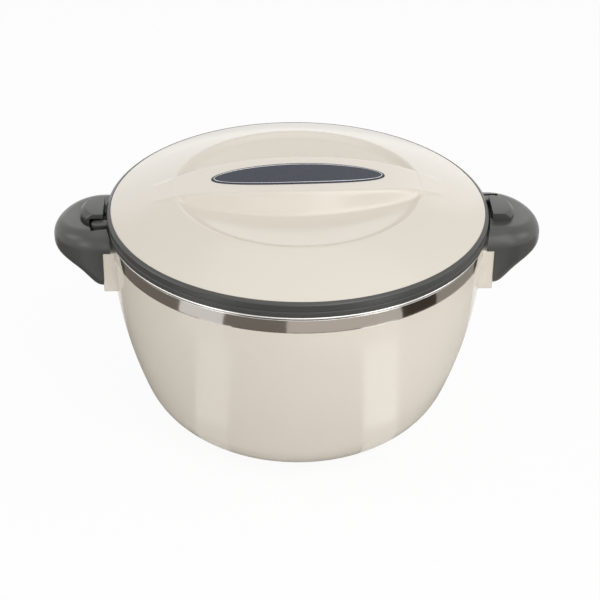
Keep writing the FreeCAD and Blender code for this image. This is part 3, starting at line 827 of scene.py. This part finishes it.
studio = {
    "aim": (0, 0, 0.1),
    "floorReach": 4.0,
    "floorSegments": 96,
    "floorTone": (0.90, 0.90, 0.90),
    "floorOwnWhite": 0.93,
    "fillStrength": 0.43,
    "softboxes": {
        "overhead": {"place": (0.05, 0.15, 1.5), "size": 1.3, "power": 2.8},
        "key": {"place": (0.75, -1.05, 1.35), "size": 1.3, "power": 11.0},
        "frontLeft": {"place": (-1.1, -0.8, 0.7), "size": 0.8, "power": 1.4},
        "front": {"place": (0.1, -1.6, 0.55), "size": 0.9, "power": 2.0},
        "lowLeft": {"place": (-0.95, -0.85, 0.42), "size": 0.35, "power": 0.8},
        "lowRight": {"place": (0.95, -0.85, 0.42), "size": 0.35, "power": 0.9},
        "left": {"place": (-1.2, 0.0, 0.8), "size": 0.5, "power": 1.9},
        "right": {"place": (1.2, -0.1, 0.6), "size": 0.5, "power": 1.7},
    },
    "cardHeight": 0.0005,
    "cardSteps": 16,
    "cards": {
        "bandCard": {
            "radii": (0.262, 0.62),
            "tones": [
                (150, 206, (0.16, 0.14, 0.12)),
                (206, 231.3, (0.70, 0.67, 0.65)),
                (231.3, 263.1, (0.17, 0.15, 0.13)),
                (263.1, 308.6, (0.50, 0.45, 0.41)),
                (308.6, 322.3, (0.50, 0.475, 0.43)),
                (322.3, 345, (0.05, 0.04, 0.03)),
                (345, 385, (0.29, 0.265, 0.23)),
            ],
        },
        "bowlCard": {
            "radii": (0.122, 0.262),
            "tones": [
                (150, 218, (0.15, 0.14, 0.12)),
                (218, 236, (1.00, 0.96, 0.92)),
                (236, 300, (0.10, 0.09, 0.08)),
                (300, 319, (1.60, 1.60, 1.55)),
                (319, 385, (0.50, 0.48, 0.45)),
            ],
        },
        "footCard": {
            "radii": (0.065, 0.122),
            "tones": [
                (150, 218, (0.15, 0.14, 0.12)),
                (218, 236, (0.50, 0.48, 0.46)),
                (236, 300, (0.20, 0.19, 0.17)),
                (300, 319, (0.70, 0.69, 0.66)),
                (319, 385, (0.30, 0.28, 0.26)),
            ],
        },
    },
    "backCard": {"distance": 1.5, "halfWidth": 0.9, "height": 1.05, "strength": 1.6},
}


def seenDirectly(owner):
    # 1 where the camera or a reflection looks at the surface, 0 where it only gives light
    path = addNode(owner, "ShaderNodeLightPath")
    either = addNode(owner, "ShaderNodeMath", {"operation": "MAXIMUM"})
    anyOf = addNode(owner, "ShaderNodeMath", {"operation": "MAXIMUM"})
    links = owner.node_tree.links
    links.new(path.outputs["Is Camera Ray"], either.inputs[0])
    links.new(path.outputs["Is Glossy Ray"], either.inputs[1])
    links.new(either.outputs["Value"], anyOf.inputs[0])
    links.new(path.outputs["Is Transmission Ray"], anyOf.inputs[1])
    return anyOf.outputs["Value"]


def makeFloor():
    bm = bmesh.new()
    bmesh.ops.create_circle(bm, cap_ends=True, radius=studio["floorReach"] / mm,
                            segments=studio["floorSegments"])
    floor = makeObject("floor", bm)
    material = bpy.data.materials.new("floorWhite")
    material.use_nodes = True
    material.node_tree.nodes.clear()
    lit = addNode(material, "ShaderNodeBsdfDiffuse", Color=(*studio["floorTone"], 1))
    own = addNode(material, "ShaderNodeEmission", Strength=1.0)
    share = addNode(material, "ShaderNodeMath", {"operation": "MULTIPLY"})
    share.inputs[1].default_value = studio["floorOwnWhite"]
    mix = addNode(material, "ShaderNodeMixShader")
    output = addNode(material, "ShaderNodeOutputMaterial")
    links = material.node_tree.links
    links.new(seenDirectly(material), share.inputs[0])
    links.new(share.outputs["Value"], mix.inputs["Fac"])
    links.new(lit.outputs["BSDF"], mix.inputs[1])
    links.new(own.outputs["Emission"], mix.inputs[2])
    links.new(mix.outputs["Shader"], output.inputs["Surface"])
    floor.data.materials.append(material)


def makeWorld():
    world = bpy.data.worlds.new("studioWorld")
    bpy.context.scene.world = world
    world.use_nodes = True
    world.node_tree.nodes.clear()
    white = (1, 1, 1, 1)
    fill = addNode(world, "ShaderNodeBackground", Color=white, Strength=studio["fillStrength"])
    seenWhite = addNode(world, "ShaderNodeBackground", Color=white)
    mix = addNode(world, "ShaderNodeMixShader")
    output = addNode(world, "ShaderNodeOutputWorld")
    links = world.node_tree.links
    links.new(seenDirectly(world), mix.inputs["Fac"])
    links.new(fill.outputs["Background"], mix.inputs[1])
    links.new(seenWhite.outputs["Background"], mix.inputs[2])
    links.new(mix.outputs["Shader"], output.inputs["Surface"])


def makeSoftbox(name, place, size, power):
    data = bpy.data.lights.new(name, "AREA")
    data.shape = "SQUARE"
    data.size = size
    data.energy = power
    lamp = bpy.data.objects.new(name, data)
    bpy.context.scene.collection.objects.link(lamp)
    aim = Vector(studio["aim"]) - Vector(place)
    lamp.matrix_world = Matrix.Translation(place) @ aim.to_track_quat("-Z", "Y").to_matrix().to_4x4()
    lamp.visible_camera = False


def finishCard(card, tone, strength=1.0):
    # a card is seen only in the steel and in the gloss
    material = bpy.data.materials.new(card.name)
    material.use_nodes = True
    material.node_tree.nodes.clear()
    glow = addNode(material, "ShaderNodeEmission", Color=(*tone, 1), Strength=strength)
    output = addNode(material, "ShaderNodeOutputMaterial")
    material.node_tree.links.new(glow.outputs["Emission"], output.inputs["Surface"])
    card.data.materials.append(material)
    card.visible_camera = False
    card.visible_diffuse = False
    card.visible_shadow = False
    card.visible_transmission = False


def makeCard(name, radii, start, end, tone):
    bm = bmesh.new()
    angle = math.radians(start)
    cosine, sine, height = math.cos(angle) / mm, math.sin(angle) / mm, studio["cardHeight"] / mm
    ends = [bm.verts.new((radius * cosine, radius * sine, height)) for radius in radii]
    edge = bm.edges.new(ends)
    bmesh.ops.spin(bm, geom=[*ends, edge], cent=(0, 0, 0), axis=(0, 0, 1),
                   angle=math.radians(end - start), steps=studio["cardSteps"])
    finishCard(makeObject(name, bm), tone)


def makeBackCard():
    # a bright wall behind, for the gloss along the lid's far edge
    card = studio["backCard"]
    width, height = 2 * card["halfWidth"] / mm, card["height"] / mm
    upright = Matrix.Rotation(math.radians(90), 3, "X")
    bm = bmesh.new()
    bmesh.ops.create_grid(bm, x_segments=1, y_segments=1, size=0.5)
    bmesh.ops.scale(bm, vec=(width, height, 1), verts=bm.verts)
    bmesh.ops.rotate(bm, cent=(0, 0, 0), matrix=upright, verts=bm.verts)
    bmesh.ops.translate(bm, vec=(0, card["distance"] / mm, height / 2), verts=bm.verts)
    finishCard(makeObject("backCard", bm), (1, 1, 1), card["strength"])


makeFloor()
makeWorld()
for name, lamp in studio["softboxes"].items():
    makeSoftbox(name, lamp["place"], lamp["size"], lamp["power"])
for name, card in studio["cards"].items():
    for index, (start, end, tone) in enumerate(card["tones"]):
        makeCard(name + str(index), card["radii"], start, end, tone)
makeBackCard()
print("studio made")
